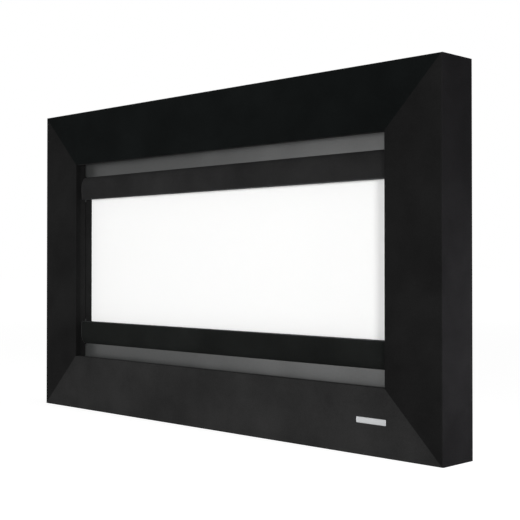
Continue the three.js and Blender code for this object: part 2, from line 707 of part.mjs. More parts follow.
function masks() {
  const group = new THREE.Group();
  const lower = maskUnit("bottom", "left", "right");
  lower.rotation.y = Math.PI;
  group.add(maskUnit("top", "right", "left"), lower);
  return group;
}

const aboutCentre = new THREE.Group();
aboutCentre.position.z = FRAME_HEIGHT / 2;
aboutCentre.add(frameRails(), cornerPlates(), sideGuides(), screenUnit(), screenBrackets(), masks());
aboutCentre.add(piece("hang_rail", hangRail(), ZINC_STEEL));

const projectorScreen = new THREE.Group();
projectorScreen.add(aboutCentre);

export default projectorScreen;
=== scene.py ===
import json
import math

import bmesh
import bpy
import numpy as np
from mathutils import Matrix, Vector
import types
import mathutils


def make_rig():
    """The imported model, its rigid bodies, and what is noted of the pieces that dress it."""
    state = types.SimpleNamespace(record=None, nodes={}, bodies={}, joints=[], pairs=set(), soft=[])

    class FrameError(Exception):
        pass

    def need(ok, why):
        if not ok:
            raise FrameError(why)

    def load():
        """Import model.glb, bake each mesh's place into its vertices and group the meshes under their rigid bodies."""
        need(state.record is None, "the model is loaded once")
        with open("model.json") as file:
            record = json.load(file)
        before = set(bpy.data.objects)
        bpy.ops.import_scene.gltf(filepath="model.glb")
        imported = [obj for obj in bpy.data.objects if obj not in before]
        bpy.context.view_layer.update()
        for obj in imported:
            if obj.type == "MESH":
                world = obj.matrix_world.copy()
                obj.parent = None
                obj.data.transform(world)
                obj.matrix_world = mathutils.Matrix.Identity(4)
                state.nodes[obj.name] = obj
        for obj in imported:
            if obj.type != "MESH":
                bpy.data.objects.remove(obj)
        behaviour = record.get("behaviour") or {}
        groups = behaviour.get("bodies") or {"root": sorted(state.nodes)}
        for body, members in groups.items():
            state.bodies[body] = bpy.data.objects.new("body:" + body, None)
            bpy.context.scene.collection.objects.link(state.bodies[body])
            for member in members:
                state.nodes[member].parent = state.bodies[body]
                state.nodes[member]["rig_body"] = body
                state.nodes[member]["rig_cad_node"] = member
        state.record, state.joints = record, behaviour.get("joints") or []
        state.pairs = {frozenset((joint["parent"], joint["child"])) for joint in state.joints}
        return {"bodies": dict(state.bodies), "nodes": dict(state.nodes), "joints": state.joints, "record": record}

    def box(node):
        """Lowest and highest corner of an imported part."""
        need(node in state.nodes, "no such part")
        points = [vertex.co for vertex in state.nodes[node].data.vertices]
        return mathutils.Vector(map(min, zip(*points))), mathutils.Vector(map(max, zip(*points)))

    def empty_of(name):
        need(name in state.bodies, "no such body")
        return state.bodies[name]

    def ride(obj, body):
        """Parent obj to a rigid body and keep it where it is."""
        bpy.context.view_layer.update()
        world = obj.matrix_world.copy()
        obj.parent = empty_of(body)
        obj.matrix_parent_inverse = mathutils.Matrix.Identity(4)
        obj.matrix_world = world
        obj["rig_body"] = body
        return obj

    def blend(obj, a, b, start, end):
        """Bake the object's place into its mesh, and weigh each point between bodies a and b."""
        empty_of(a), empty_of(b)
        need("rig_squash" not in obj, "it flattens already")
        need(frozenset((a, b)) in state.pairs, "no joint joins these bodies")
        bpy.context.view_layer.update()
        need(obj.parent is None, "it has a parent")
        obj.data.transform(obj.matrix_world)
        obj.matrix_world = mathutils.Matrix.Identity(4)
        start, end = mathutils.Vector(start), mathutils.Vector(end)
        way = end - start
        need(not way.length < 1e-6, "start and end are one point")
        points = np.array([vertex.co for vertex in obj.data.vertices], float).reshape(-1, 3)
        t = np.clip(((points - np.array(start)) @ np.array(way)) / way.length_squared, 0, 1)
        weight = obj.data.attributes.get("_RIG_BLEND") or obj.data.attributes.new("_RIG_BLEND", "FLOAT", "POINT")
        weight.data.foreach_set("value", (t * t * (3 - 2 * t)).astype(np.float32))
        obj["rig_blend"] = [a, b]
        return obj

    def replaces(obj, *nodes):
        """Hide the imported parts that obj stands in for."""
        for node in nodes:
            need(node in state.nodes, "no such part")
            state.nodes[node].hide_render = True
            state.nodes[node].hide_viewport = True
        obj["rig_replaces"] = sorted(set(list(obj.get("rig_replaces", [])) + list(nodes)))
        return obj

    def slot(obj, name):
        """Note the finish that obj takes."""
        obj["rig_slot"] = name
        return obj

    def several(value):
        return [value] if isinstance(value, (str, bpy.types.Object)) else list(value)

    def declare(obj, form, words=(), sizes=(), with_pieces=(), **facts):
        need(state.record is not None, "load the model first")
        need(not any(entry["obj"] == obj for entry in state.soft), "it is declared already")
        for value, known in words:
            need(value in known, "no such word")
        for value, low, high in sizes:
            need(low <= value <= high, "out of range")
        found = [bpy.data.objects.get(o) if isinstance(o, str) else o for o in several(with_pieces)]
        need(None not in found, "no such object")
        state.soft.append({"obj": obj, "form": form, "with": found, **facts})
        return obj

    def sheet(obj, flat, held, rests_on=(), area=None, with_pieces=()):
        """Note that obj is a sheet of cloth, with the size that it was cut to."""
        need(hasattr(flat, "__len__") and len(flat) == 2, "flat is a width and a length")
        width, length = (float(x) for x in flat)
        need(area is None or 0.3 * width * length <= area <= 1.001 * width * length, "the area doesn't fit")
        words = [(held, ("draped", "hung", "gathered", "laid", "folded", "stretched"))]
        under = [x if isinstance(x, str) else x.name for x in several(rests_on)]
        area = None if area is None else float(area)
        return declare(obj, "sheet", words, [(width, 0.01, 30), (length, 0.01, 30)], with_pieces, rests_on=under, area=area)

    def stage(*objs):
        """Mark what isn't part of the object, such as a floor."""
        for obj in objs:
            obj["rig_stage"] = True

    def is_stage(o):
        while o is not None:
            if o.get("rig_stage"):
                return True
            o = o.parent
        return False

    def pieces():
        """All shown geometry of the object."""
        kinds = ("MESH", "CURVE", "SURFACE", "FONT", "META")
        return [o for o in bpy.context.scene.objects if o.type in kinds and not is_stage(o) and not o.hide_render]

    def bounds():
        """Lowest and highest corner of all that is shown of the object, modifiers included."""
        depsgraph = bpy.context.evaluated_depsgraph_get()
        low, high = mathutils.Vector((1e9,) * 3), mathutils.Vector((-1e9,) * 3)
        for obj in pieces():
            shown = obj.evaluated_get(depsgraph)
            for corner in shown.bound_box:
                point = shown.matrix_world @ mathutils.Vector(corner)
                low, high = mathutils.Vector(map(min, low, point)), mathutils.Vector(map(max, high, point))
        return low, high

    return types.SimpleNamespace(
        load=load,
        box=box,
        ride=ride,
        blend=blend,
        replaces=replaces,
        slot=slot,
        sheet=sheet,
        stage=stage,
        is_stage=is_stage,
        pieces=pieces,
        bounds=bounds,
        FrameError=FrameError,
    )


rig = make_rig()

# A deep fixed frame projector screen with a cloth mask above the picture and another below it.
# Metres, in the frame's own axes: X to the right, Y towards the wall, Z up.
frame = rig.load()
cad_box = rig.bounds()
nodes = frame["nodes"]

SIZE_FILE = "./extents.json"

# Places read from the frame, and the sizes between them
LEFT, FRONT, FOOT = (min(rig.box(n)[0][i] for n in ("left_stile", "bottom_rail")) for i in range(3))
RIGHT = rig.box("right_stile")[1][0]
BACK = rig.box("right_stile")[1][1]
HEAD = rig.box("top_rail")[1][2]
HALF_WIDTH = (RIGHT - LEFT) / 2
HALF_HEIGHT = (HEAD - FOOT) / 2
DEPTH = BACK - FRONT
MID_X = (LEFT + RIGHT) / 2
MID_Z = (FOOT + HEAD) / 2
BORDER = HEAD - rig.box("top_rail")[0][2]
FLANGE_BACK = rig.box("corner_plate_top_left")[0][1]
RETURN_INNER_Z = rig.box("hang_rail")[1][2]
RETURN_THICKNESS = HEAD - RETURN_INNER_Z
FLANGE = FLANGE_BACK - FRONT

# Camera, fitted to the corners of the frame and of its opening in the photograph
IMAGE_SIZE = 520
SENSOR = 36.0
FOCAL_PIXELS = 1056.7
CAMERA_YAW = math.radians(44.737)
CAMERA_PITCH = math.radians(0.739)
CAMERA_RIGHT = 2.6288
CAMERA_AHEAD = 2.4012
CAMERA_DROP = 0.00905
AXIS_ABOVE_CENTRE = 10.97

# Velvet
SKIN = 0.0009
SKIN_GAP = 0.00015
OUTER_ROUND = 0.0032
INNER_ROUND = 0.0016
TURN_IN = 0.018
SEAM = 0.00003
BAR_SKIN = 0.0007
SKIN_SMOOTH = 50

# Mask bar section, which repeats the solid's own curve
BAR_PROUD = 0.022
BAR_BULGE_DROP = 0.044
BAR_LIP_SETBACK = 0.003
BAR_SLOT = 0.0008

# Cloth and sheet
CLOTH = 0.0006
CLOTH_RIPPLE = 0.0005
SHEET = 0.0007
SHEET_ROUND = 0.0028
HEM = 0.0135


def look_at_frame():
    """The camera of the photograph, level apart from a slight upward tilt."""
    data = bpy.data.cameras.new("camera")
    data.sensor_width = SENSOR
    data.lens = SENSOR * FOCAL_PIXELS / IMAGE_SIZE
    data.shift_y = -AXIS_ABOVE_CENTRE / IMAGE_SIZE
    data.clip_start = 0.05
    data.clip_end = 200
    camera = bpy.data.objects.new("camera", data)
    camera.location = (MID_X + CAMERA_RIGHT, FRONT - CAMERA_AHEAD, MID_Z - CAMERA_DROP)
    camera.rotation_euler = (math.radians(90) + CAMERA_PITCH, 0, CAMERA_YAW)
    bpy.context.scene.collection.objects.link(camera)
    bpy.context.scene.camera = camera
    bpy.context.scene.view_settings.view_transform = "Standard"


look_at_frame()


# Shader helpers
class Shader:
    """A node material whose colour, roughness and bump are wired up by short calls."""

    def __init__(self, name, roughness, metallic=0.0, specular=0.5, sheen=0.0, sheen_roughness=0.5):
        self.material = bpy.data.materials.new(name)
        self.material.use_nodes = True
        self.tree = self.material.node_tree
        self.surface = self.tree.nodes["Principled BSDF"]
        self.set("Roughness", roughness)
        self.set("Metallic", metallic)
        self.set("Specular IOR Level", specular)
        self.set("Sheen Weight", sheen)
        self.set("Sheen Roughness", sheen_roughness)
        coordinates = self.tree.nodes.new("ShaderNodeTexCoord")
        self.place = coordinates.outputs["Object"]

    def set(self, socket, value):
        self.surface.inputs[socket].default_value = value

    def link(self, source, target):
        self.tree.links.new(source, target)

    def stretched(self, scale):
        """Object coordinates, scaled along each axis."""
        mapping = self.tree.nodes.new("ShaderNodeMapping")
        mapping.inputs["Scale"].default_value = scale
        self.link(self.place, mapping.inputs["Vector"])
        return mapping.outputs["Vector"]

    def noise(self, scale, detail=3.0, roughness=0.55, stretch=(1, 1, 1)):
        texture = self.tree.nodes.new("ShaderNodeTexNoise")
        texture.inputs["Scale"].default_value = scale
        texture.inputs["Detail"].default_value = detail
        texture.inputs["Roughness"].default_value = roughness
        self.link(self.stretched(stretch), texture.inputs["Vector"])
        return texture.outputs["Fac"]

    def wave(self, scale, direction):
        texture = self.tree.nodes.new("ShaderNodeTexWave")
        texture.bands_direction = direction
        texture.inputs["Scale"].default_value = scale
        self.link(self.place, texture.inputs["Vector"])
        return texture.outputs["Fac"]

    def math(self, operation, a, b):
        node = self.tree.nodes.new("ShaderNodeMath")
        node.operation = operation
        for socket, value in zip(node.inputs, (a, b)):
            if isinstance(value, (int, float)):
                socket.default_value = value
            else:
                self.link(value, socket)
        return node.outputs[0]

    def ramp(self, value, stops):
        node = self.tree.nodes.new("ShaderNodeValToRGB")
        while len(node.color_ramp.elements) < len(stops):
            node.color_ramp.elements.new(0.5)
        for element, (position, colour) in zip(node.color_ramp.elements, stops):
            element.position = position
            element.color = (*colour, 1)
        self.link(value, node.inputs["Fac"])
        return node.outputs["Color"]

    def colour(self, value, stops):
        self.link(self.ramp(value, stops), self.surface.inputs["Base Color"])

    def rough(self, value, low, high):
        span = self.tree.nodes.new("ShaderNodeMapRange")
        span.inputs["To Min"].default_value = low
        span.inputs["To Max"].default_value = high
        self.link(value, span.inputs["Value"])
        self.link(span.outputs["Result"], self.surface.inputs["Roughness"])

    def bump(self, height, strength, distance):
        node = self.tree.nodes.new("ShaderNodeBump")
        node.inputs["Strength"].default_value = strength
        node.inputs["Distance"].default_value = distance
        self.link(height, node.inputs["Height"])
        self.link(node.outputs["Normal"], self.surface.inputs["Normal"])


def scaled(colour, factor):
    return tuple(c * factor for c in colour)


def grey_of(level, tint=(1, 1, 1)):
    """Linear colour of an 8-bit screen level, tinted."""
    share = level / 255
    linear = ((share + 0.055) / 1.055) ** 2.4 if share > 0.04045 else share / 12.92
    return tuple(linear * t for t in tint)


# Shares of the base colour where velvet's pile leans away from the light and towards it
PILE_DARK = 0.62
PILE_LIGHT = 1.42


def velvet(name, level, tint=(1, 1, 1)):
    """Black velvet: cloudy where the pile leans differently, with fine fibres in the bump."""
    base = grey_of(level, tint)
    shader = Shader(name, 0.95, specular=0.02, sheen=0.01, sheen_roughness=0.4)
    clouds = shader.noise(5.0, detail=5, roughness=0.6)
    tufts = shader.noise(330.0, detail=4, roughness=0.7)
    fibres = shader.noise(1300.0, detail=2)
    nap = shader.math("ADD", shader.math("MULTIPLY", tufts, 0.6), shader.math("MULTIPLY", fibres, 0.4))
    mixed = shader.math("ADD", shader.math("MULTIPLY", clouds, 0.45), shader.math("MULTIPLY", nap, 0.55))
    shader.colour(mixed, [(0.36, scaled(base, PILE_DARK)), (0.5, base), (0.64, scaled(base, PILE_LIGHT))])
    shader.bump(nap, 0.5, 0.0008)
    return shader.material


def mask_cloth_material(name, level):
    """Closely woven grey masking cloth with a slight coating shine."""
    base = grey_of(level, (0.97, 1.01, 1.0))
    shader = Shader(name, 0.33, specular=0.33)
    warp = shader.wave(420.0, "X")
    weft = shader.wave(420.0, "Z")
    weave = shader.math("MULTIPLY", warp, weft)
    thick_weft = shader.noise(40.0, detail=4, stretch=(1, 1, 12))
    thick_warp = shader.noise(40.0, detail=4, stretch=(12, 1, 1))
    slub = shader.math("MULTIPLY", shader.math("ADD", thick_weft, thick_warp), 0.5)
    shade = shader.math("ADD", shader.math("MULTIPLY", slub, 0.75), shader.math("MULTIPLY", weave, 0.25))
    shader.colour(shade, [(0.28, scaled(base, 0.80)), (0.62, scaled(base, 1.20))])
    shader.rough(slub, 0.31, 0.35)
    shader.bump(shader.math("ADD", weave, shader.math("MULTIPLY", slub, 0.4)), 0.05, 0.0003)
    return shader.material


def screen_material():
    """Matte white vinyl with a very fine grain."""
    shader = Shader("screen_white", 0.8, specular=0.2)
    grain = shader.noise(900.0, detail=2)
    shader.colour(grain, [(0.35, (0.90, 0.90, 0.895)), (0.65, (0.93, 0.93, 0.925))])
    shader.bump(grain, 0.08, 0.0002)
    return shader.material


def metal(name, colour, roughness, stretch, scale=60.0):
    """Bare metal with drawn streaks along one axis."""
    shader = Shader(name, roughness, metallic=1.0)
    streaks = shader.noise(scale, detail=6, roughness=0.65, stretch=stretch)
    stain = shader.noise(7.0, detail=4)
    mixed = shader.math("ADD", shader.math("MULTIPLY", streaks, 0.5), shader.math("MULTIPLY", stain, 0.5))
    shader.colour(mixed, [(0.3, scaled(colour, 0.82)), (0.7, scaled(colour, 1.1))])
    shader.rough(streaks, roughness - 0.08, roughness + 0.12)
    shader.bump(streaks, 0.12, 0.0002)
    return shader.material


def plastic(name, colour, roughness):
    """Moulded plastic with a fine spark texture."""
    shader = Shader(name, roughness, specular=0.4)
    grain = shader.noise(1100.0, detail=2)
    patches = shader.noise(14.0, detail=3)
    shader.colour(patches, [(0.3, scaled(colour, 0.9)), (0.7, scaled(colour, 1.1))])
    shader.rough(grain, roughness - 0.06, roughness + 0.08)
    shader.bump(grain, 0.15, 0.0002)
    return shader.material


# Painted light and shade: each piece, and each rail's outer side and lip, gets its own level of the one black velvet,
# so each reads as its own shade of black
VELVET_LEVEL_WITH_PAINTED_SHADE = {
    "top_rail": (15, (0.90, 1.06, 1.06)),
    "left_stile": (25, (1, 1, 1)),
    "right_stile": (23, (1, 1, 1)),
    "bottom_rail": (39.5, (1, 1, 1)),
    "outer_side": (27.5, (1.01, 0.98, 1.05)),
    "stile_lip": (22, (1, 1, 1)),
    "rail_lip": (40, (1, 1, 1)),
    "top_mask_bar": (36.5, (1, 1, 1.01)),
    "bottom_mask_bar": (25, (0.96, 1.04, 0.99)),
    "guide": (28, (1, 1, 1)),
}
VELVET = {name: velvet(f"velvet_{name}", *values) for name, values in VELVET_LEVEL_WITH_PAINTED_SHADE.items()}
# The two masks hang the same cloth; the lower one's lighter level is painted light, making up for lamp shine that
# reaches the upper cloth more
MASK_CLOTH_LEVEL = {"top": 46, "bottom": 52}
MASK_CLOTH = {mask: mask_cloth_material(f"mask_cloth_{mask}", level)
              for mask, level in MASK_CLOTH_LEVEL.items()}
SCREEN_WHITE = screen_material()
ANODISED = metal("black_anodised", (0.045, 0.047, 0.05), 0.42, (1, 12, 12))
ALUMINIUM = metal("mill_aluminium", (0.62, 0.63, 0.64), 0.36, (0.6, 14, 14))
PLATE_ALUMINIUM = metal("satin_aluminium", (0.30, 0.305, 0.31), 0.38, (0.6, 14, 14), scale=90.0)
ZINC = metal("zinc_plate", (0.60, 0.61, 0.60), 0.34, (3, 3, 3))
SPRING = metal("spring_steel", (0.16, 0.165, 0.18), 0.3, (3, 3, 3))
BLACK_PLASTIC = plastic("black_plastic", (0.012, 0.0125, 0.013), 0.55)
GREY_PLASTIC = plastic("grey_plastic", (0.22, 0.235, 0.24), 0.5)


def dress(name, material, bevel=0.0):
    """Gives a CAD node its material, and softened edges where it shows."""
    node = nodes[name]
    node.data.materials.clear()
    node.data.materials.append(material)
    if bevel:
        modifier = node.modifiers.new("soft_edges", "BEVEL")
        modifier.width = bevel
        modifier.segments = 2
        modifier.limit_method = "ANGLE"
        modifier.angle_limit = math.radians(40)


# Mesh helpers
SHARPEST_LEAN = 0.5
WELD_DISTANCE = 0.000002


def new_mesh(name, vertices, faces, material, smooth_angle=40):
    mesh = bpy.data.meshes.new(name)
    mesh.from_pydata([tuple(v) for v in vertices], [], faces)
    mesh.validate()
    mesh.update()
    piece = bpy.data.objects.new(name, mesh)
    bpy.context.scene.collection.objects.link(piece)
    mesh.materials.append(material)
    mesh.shade_smooth()
    mesh.set_sharp_from_angle(angle=math.radians(smooth_angle))
    return piece


def weld(piece):
    """Joins points that lie on each other, such as where a winding's last turn meets its first."""
    mesh = bmesh.new()
    mesh.from_mesh(piece.data)
    bmesh.ops.remove_doubles(mesh, verts=mesh.verts, dist=WELD_DISTANCE)
    mesh.to_mesh(piece.data)
    mesh.free()


def arc(centre, radius, start, end, steps):
    """Points of an arc, angles in degrees, in the order given."""
    angles = np.radians(np.linspace(start, end, steps + 1))
    return [(centre[0] + radius * math.cos(a), centre[1] + radius * math.sin(a)) for a in angles]


def unit(vectors):
    """Rows of an array, each made one long."""
    return vectors / np.linalg.norm(vectors, axis=1, keepdims=True)


def thick_strip(path, thickness):
    """A closed ring round a path of (a, b) points, thickened to the left of its direction."""
    points = np.array(path)
    ahead = np.vstack([points[1:] - points[:-1], points[-1:] - points[-2:-1]])
    behind = np.vstack([ahead[:1], ahead[:-1]])
    along = unit(unit(ahead) + unit(behind))
    left = np.column_stack([-along[:, 1], along[:, 0]])
    lean = np.maximum(SHARPEST_LEAN, np.sum(unit(ahead) * along, axis=1, keepdims=True))
    return np.vstack([points, (points + left * thickness / lean)[::-1]])


def loft(rings):
    """Vertices and faces of a tube through closed rings of equal length, with its two ends open."""
    count = len(rings[0])
    vertices = [point for ring in rings for point in ring]
    faces = []
    for k in range(len(rings) - 1):
        for i in range(count):
            j = (i + 1) % count
            faces.append((k * count + i, k * count + j, (k + 1) * count + j, (k + 1) * count + i))
    return vertices, faces


def close_strip_ends(faces, count, last):
    """Caps for a lofted thick strip: quads between its two sides, which face each other in the ring."""
    half = count // 2
    for i in range(half - 1):
        a, b, c, d = i, i + 1, count - 2 - i, count - 1 - i
        faces.append((d, c, b, a))
        faces.append((last + a, last + b, last + c, last + d))


# The four sides of the frame: how (distance in, depth, along) turns into (x, y, z)
SIDES = {
    "left_stile": (HALF_HEIGHT, lambda u, d, s: (LEFT + u, FRONT + d, MID_Z + s)),
    "top_rail": (HALF_WIDTH, lambda u, d, s: (MID_X + s, FRONT + d, HEAD - u)),
    "right_stile": (HALF_HEIGHT, lambda u, d, s: (RIGHT - u, FRONT + d, MID_Z - s)),
    "bottom_rail": (HALF_WIDTH, lambda u, d, s: (MID_X - s, FRONT + d, FOOT + u)),
}
SKIN_STATIONS = 48
# Rail faces that point different ways take differently shaded copies of the velvet: painted light and shade
SHADE_FRONT, SHADE_OUTER, SHADE_LIP = range(3)
FRONT_FACE_DEPTH = 0.3 * OUTER_ROUND


def rail_skin_path():
    """From the back of the inner lip, over the front, down the outer side and round the back edge."""
    g = SKIN_GAP
    outer, inner, back = OUTER_ROUND, INNER_ROUND, DEPTH + g
    path = [(BORDER + g, FLANGE)]
    path += arc((BORDER + g - inner, inner - g), inner, 0, -90, 5)
    path += [(BORDER * share, -g) for share in (0.8, 0.6, 0.4, 0.2)]
    path += arc((outer - g, outer - g), outer, -90, -180, 6)
    path += [(-g, DEPTH * share) for share in (0.25, 0.5, 0.75)]
    path += arc((inner - g, back - inner), inner, 180, 90, 5)
    path += arc((RETURN_THICKNESS + g - inner, back - inner), inner, 90, 0, 5)
    path += [(RETURN_THICKNESS + g, DEPTH - TURN_IN)]
    return path


def painted_shade_of(point):
    """Which painted shade of velvet a point of a rail's section takes: the front's, the outer side's or the lip's."""
    u, d = point
    if d < FRONT_FACE_DEPTH:
        return SHADE_FRONT
    return SHADE_LIP if u > BORDER - INNER_ROUND else SHADE_OUTER


def rail_skins():
    """The velvet glued round each rail, mitred with it."""
    path = rail_skin_path()
    ring = thick_strip(path, SKIN)
    # The painted shade of each face of the skin, by its place in the section
    face_shades = [painted_shade_of(np.add(a, b) / 2) for a, b in zip(path, path[1:])]
    face_shades = face_shades + [SHADE_OUTER] + face_shades[::-1] + [SHADE_LIP]
    for side, (half, place) in SIDES.items():
        stations = np.linspace(-1, 1, SKIN_STATIONS)
        rings = [[place(u, d, share * (half - u - SEAM)) for u, d in ring] for share in stations]
        vertices, faces = loft(rings)
        close_strip_ends(faces, len(ring), (SKIN_STATIONS - 1) * len(ring))
        skin = new_mesh(f"velvet_on_{side}", vertices, faces, VELVET[side], smooth_angle=SKIN_SMOOTH)
        # The shaded copies of the velvet for the outer side and the lip
        for shaded_copy in ("outer_side", "stile_lip" if side.endswith("stile") else "rail_lip"):
            skin.data.materials.append(VELVET[shaded_copy])
        lengthwise = len(ring) * (SKIN_STATIONS - 1)
        for face in skin.data.polygons[:lengthwise]:
            face.material_index = face_shades[face.index % len(ring)]
        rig.ride(skin, "frame")
        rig.slot(skin, "velvet")


rail_skins()


# Mask bars. Each is drawn for the upper mask; the lower one is the same with heights turned over.
def bar_front(down):
    """How far the bar's front stands proud of its cloth, at a distance below its outer edge."""
    if down < BAR_BULGE_DROP:
        rise = (BAR_BULGE_DROP - down) / BAR_BULGE_DROP
        return BAR_SLOT + (BAR_PROUD - BAR_SLOT) * math.sqrt(max(0.0, 1 - rise * rise))
    fall = (down - BAR_BULGE_DROP) / (BAR_HEIGHT - BAR_BULGE_DROP)
    return BAR_PROUD - BAR_LIP_SETBACK * fall * fall


BAR_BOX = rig.box("top_mask_bar")
BAR_HEIGHT = BAR_BOX[1][2] - BAR_BOX[0][2]
BAR_HALF = (BAR_BOX[1][0] - BAR_BOX[0][0]) / 2
CLOTH_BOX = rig.box("top_mask_cloth")
CLOTH_Y = (CLOTH_BOX[0][1] + CLOTH_BOX[1][1]) / 2
BAR_BACK_Y = BAR_BOX[1][1]
BAR_STATIONS = 40
BAR_CURVE = 28
BAR_CORNER = 0.0012
BAR_SKIN_END = 0.0002


def bar_skin_path():
    """(y, distance down from the outer edge), from the slot round the front and back up to the top."""
    g = SKIN_GAP
    downs = [BAR_HEIGHT * (i / BAR_CURVE) ** 2 for i in range(BAR_CURVE)]
    path = [(CLOTH_Y - bar_front(d) - g, d) for d in downs]
    front = CLOTH_Y - bar_front(BAR_HEIGHT) - g
    back = BAR_BACK_Y + g
    foot = BAR_HEIGHT + g
    path += arc((front + BAR_CORNER, foot - BAR_CORNER), BAR_CORNER, 180, 90, 4)
    path += arc((back - BAR_CORNER, foot - BAR_CORNER), BAR_CORNER, 90, 0, 4)
    path += [(back, BAR_HEIGHT * share) for share in (0.7, 0.4, 0.1)]
    path += [(back, BAR_SKIN_END)]
    return path


def bar_skins():
    """The velvet glued round each mask bar."""
    for mask, place in (("top", lambda down: BAR_BOX[1][2] - down),
                        ("bottom", lambda down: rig.box("bottom_mask_bar")[0][2] + down)):
        ring = thick_strip(bar_skin_path(), -BAR_SKIN)
        stations = np.linspace(-BAR_HALF, BAR_HALF, BAR_STATIONS)
        rings = [[(MID_X + s, y, place(down)) for y, down in ring] for s in stations]
        vertices, faces = loft(rings)
        close_strip_ends(faces, len(ring), (BAR_STATIONS - 1) * len(ring))
        if mask == "bottom":
            faces = [f[::-1] for f in faces]
        material = VELVET[f"{mask}_mask_bar"]
        skin = new_mesh(f"velvet_on_{mask}_bar", vertices, faces, material, smooth_angle=SKIN_SMOOTH)
        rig.ride(skin, f"{mask}_mask")
        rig.slot(skin, "velvet")


bar_skins()


# Mask cloths, from the slot in the bar up to where each leaves its roller
CLOTH_COLUMNS = 96
CLOTH_ROWS = 26
ROLLER_RADIUS = (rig.box("top_wound_cloth")[1][2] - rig.box("top_wound_cloth")[0][2]) / 2
ROLLER_Z = (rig.box("top_wound_cloth")[1][2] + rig.box("top_wound_cloth")[0][2]) / 2
ROLLER_Y = (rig.box("top_wound_cloth")[1][1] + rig.box("top_wound_cloth")[0][1]) / 2
CLOTH_HALF = (CLOTH_BOX[1][0] - CLOTH_BOX[0][0]) / 2
BLEND_PAST_ROLLER = 0.028
BLEND_INTO_BAR = 0.012
RIPPLE_WAVES = ((1.0, 23.0, 0.0), (0.6, 41.0, 1.3))
CLOTH_END_GAP = 0.0004
CLOTH_SIDE_GAP = 0.001
CLOTH_TUCK = 0.001
ROLL_INNER = 0.0223
ROLL_TURNS = 4
ROLL_STAGGER = 0.0004
ROLL_GROOVE = 0.00015
ROLL_SIDES = 48
ROLL_STATIONS = 13
ROLL_EVEN = 0.9


def cloth_ripple(x, share):
    """Faint upright ripples that fade towards the bar, the roller and the held sides."""
    fade = math.sin(math.pi * share) * math.cos(math.pi * x / (2 * CLOTH_HALF)) ** 0.5
    waves = sum(height * math.sin(x * rate + phase) for height, rate, phase in RIPPLE_WAVES)
    return CLOTH_RIPPLE * fade * waves


def cloth_roll(mask):
    """The cloth wound on the roller, with a step at its last turn and the edges of its turns at both ends."""
    reach = CLOTH_HALF + ROLL_STAGGER
    radii = np.linspace(ROLLER_RADIUS, ROLL_INNER, ROLL_TURNS + 1)
    profile = []
    for turn, (outer, inner) in enumerate(zip(radii, radii[1:])):
        end = reach - ROLL_STAGGER * (1 + (turn % 2))
        profile += [(end, outer), (end, inner + ROLL_GROOVE)]
    profile.append((profile[-1][0], ROLL_INNER))
    even = ROLL_EVEN * CLOTH_HALF
    outside = [(x, ROLLER_RADIUS) for x in np.linspace(-even, even, ROLL_STATIONS)]
    profile = [(-x, r) for x, r in profile[::-1]] + outside + profile
    layer = (ROLLER_RADIUS - ROLL_INNER) / ROLL_TURNS
    middle = ROLLER_Z if mask == "top" else 2 * MID_Z - ROLLER_Z
    rings = []
    for x, r in profile:
        ring = []
        for step in range(ROLL_SIDES + 1):
            share = step / ROLL_SIDES
            across = r - layer * share if r > ROLL_INNER + layer else r
            angle = math.pi + math.tau * share
            ring.append((MID_X + x,
                         ROLLER_Y + across * math.cos(angle),
                         middle + across * math.sin(angle)))
        rings.append(ring)
    vertices, faces = loft(rings + rings[:1])
    count = len(rings[0])
    last = len(rings) * count
    faces = [tuple(i - last if i >= last else i for i in face) for face in faces]
    roll = new_mesh(f"{mask}_cloth_roll", vertices[:last], faces, MASK_CLOTH[mask], smooth_angle=30)
    weld(roll)
    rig.ride(roll, f"{mask}_roller")
    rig.replaces(roll, f"{mask}_wound_cloth")
    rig.slot(roll, "mask_cloth")
    return roll


def mask_cloths():
    """The two flat cloths, each following its bar and sliding off its roller."""
    low = CLOTH_BOX[0][2] + CLOTH_END_GAP
    tuck = BAR_BOX[1][2] + CLOTH_TUCK
    for mask, turn in (("top", lambda z: z), ("bottom", lambda z: 2 * MID_Z - z)):
        vertices = []
        for row in range(CLOTH_ROWS + 1):
            share = row / CLOTH_ROWS
            z = low + (ROLLER_Z - low) * share
            half = CLOTH_HALF if z > tuck else BAR_HALF - CLOTH_SIDE_GAP
            for column in range(CLOTH_COLUMNS + 1):
                x = half * (2 * column / CLOTH_COLUMNS - 1)
                vertices.append((MID_X + x, CLOTH_Y + cloth_ripple(x, share), turn(z)))
        width = CLOTH_COLUMNS + 1
        faces = []
        for row in range(CLOTH_ROWS):
            for column in range(CLOTH_COLUMNS):
                a = row * width + column
                quad = (a, a + 1, a + width + 1, a + width)
                faces.append(quad if mask == "top" else quad[::-1])
        cloth = new_mesh(f"{mask}_mask_cloth_woven", vertices, faces, MASK_CLOTH[mask])
        thicken = cloth.modifiers.new("thickness", "SOLIDIFY")
        thicken.thickness = CLOTH
        thicken.offset = 0
        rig.replaces(cloth, f"{mask}_mask_cloth")
        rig.slot(cloth, "mask_cloth")
        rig.blend(cloth, "frame", f"{mask}_mask",
                 start=(MID_X, CLOTH_Y, turn(ROLLER_Z + BLEND_PAST_ROLLER)),
                 end=(MID_X, CLOTH_Y, turn(BAR_BOX[1][2] - BLEND_INTO_BAR)))
        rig.sheet(cloth, flat=(2 * CLOTH_HALF, ROLLER_Z - low), held="stretched",
                 rests_on=[f"{mask}_roller_tube", f"{mask}_mask_bar"], with_pieces=[cloth_roll(mask)])


mask_cloths()


# Screen sheet, wrapped round the tension frame
SHEET_INSETS = (0.30, 0.10, 0.04, 0.012)


